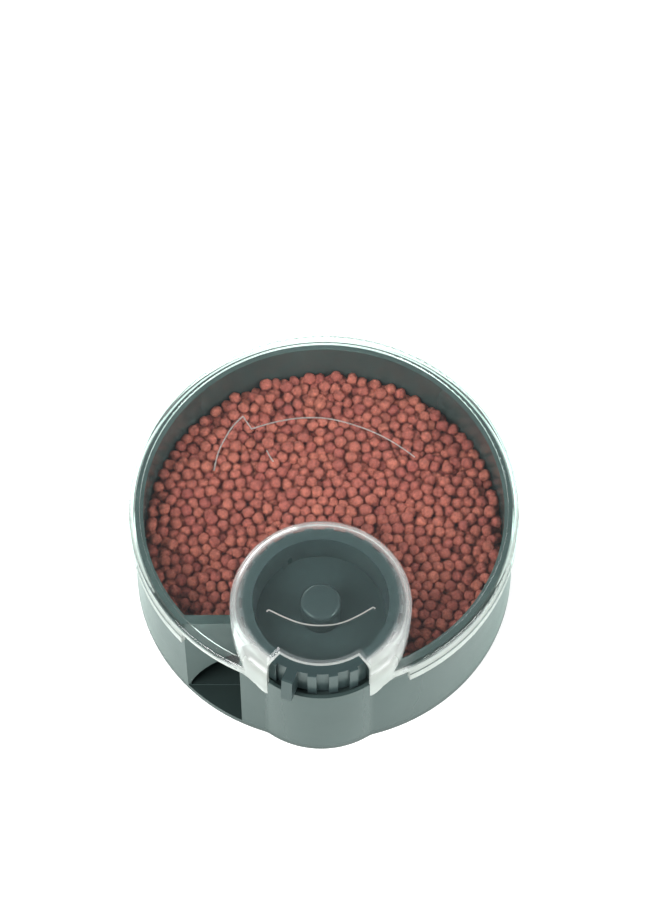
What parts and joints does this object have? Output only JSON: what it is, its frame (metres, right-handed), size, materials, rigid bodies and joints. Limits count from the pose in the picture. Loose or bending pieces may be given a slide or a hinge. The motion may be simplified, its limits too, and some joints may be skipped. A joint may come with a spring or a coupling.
{
  "type": "fish feeder food drum",
  "caption": "Round food drum of an automatic fish feeder: clear domed lid, dark cup with a discharge notch, and a toothed dose dial that opens a metering port.",
  "frame": {"origin": "mouth of the drive socket, on the drum's axis at its flat back", "axes": "+Z along the drum's axis towards the clear lid, -Y towards the dose dial, +X to the right seen from the lid with the dial at the front"},
  "size_m": [0.0704, 0.0718, 0.03],
  "materials": {
    "body_plastic": "satin moulded, dark teal grey",
    "base_plastic": "satin moulded, dark teal grey",
    "clear_plastic": "clear moulded plastic",
    "dial_plastic": "satin moulded, dark teal grey",
    "post_plastic": "satin moulded",
    "rotor_plastic": "moulded",
    "spindle_steel": "ground",
    "ring_rubber": "matt",
    "socket_plastic": "moulded",
    "screw_steel": "zinc plated"
  },
  "bodies": {
    "drum": {"drum_body": "body_plastic", "base_plate": "base_plastic", "drive_socket": "socket_plastic", "base_screws": "screw_steel", "dial_spindle": "spindle_steel", "spindle_cap": "post_plastic"},
    "dial": {"dose_dial": "dial_plastic", "metering_rotor": "rotor_plastic", "dial_o_ring": "ring_rubber"},
    "lid": {"lid": "clear_plastic"}
  },
  "joints": [
    {"name": "dial_turn", "type": "hinge", "parent": "drum", "child": "dial", "pos_m": [-0.0006, -0.0204, 0.02], "axis": [0, 0, 1], "range_deg": [-7, 46]},
    {"name": "lid_lift", "type": "slide", "parent": "drum", "child": "lid", "axis": [0, 0, 1], "range_m": [0, 0.03]}
  ]
}
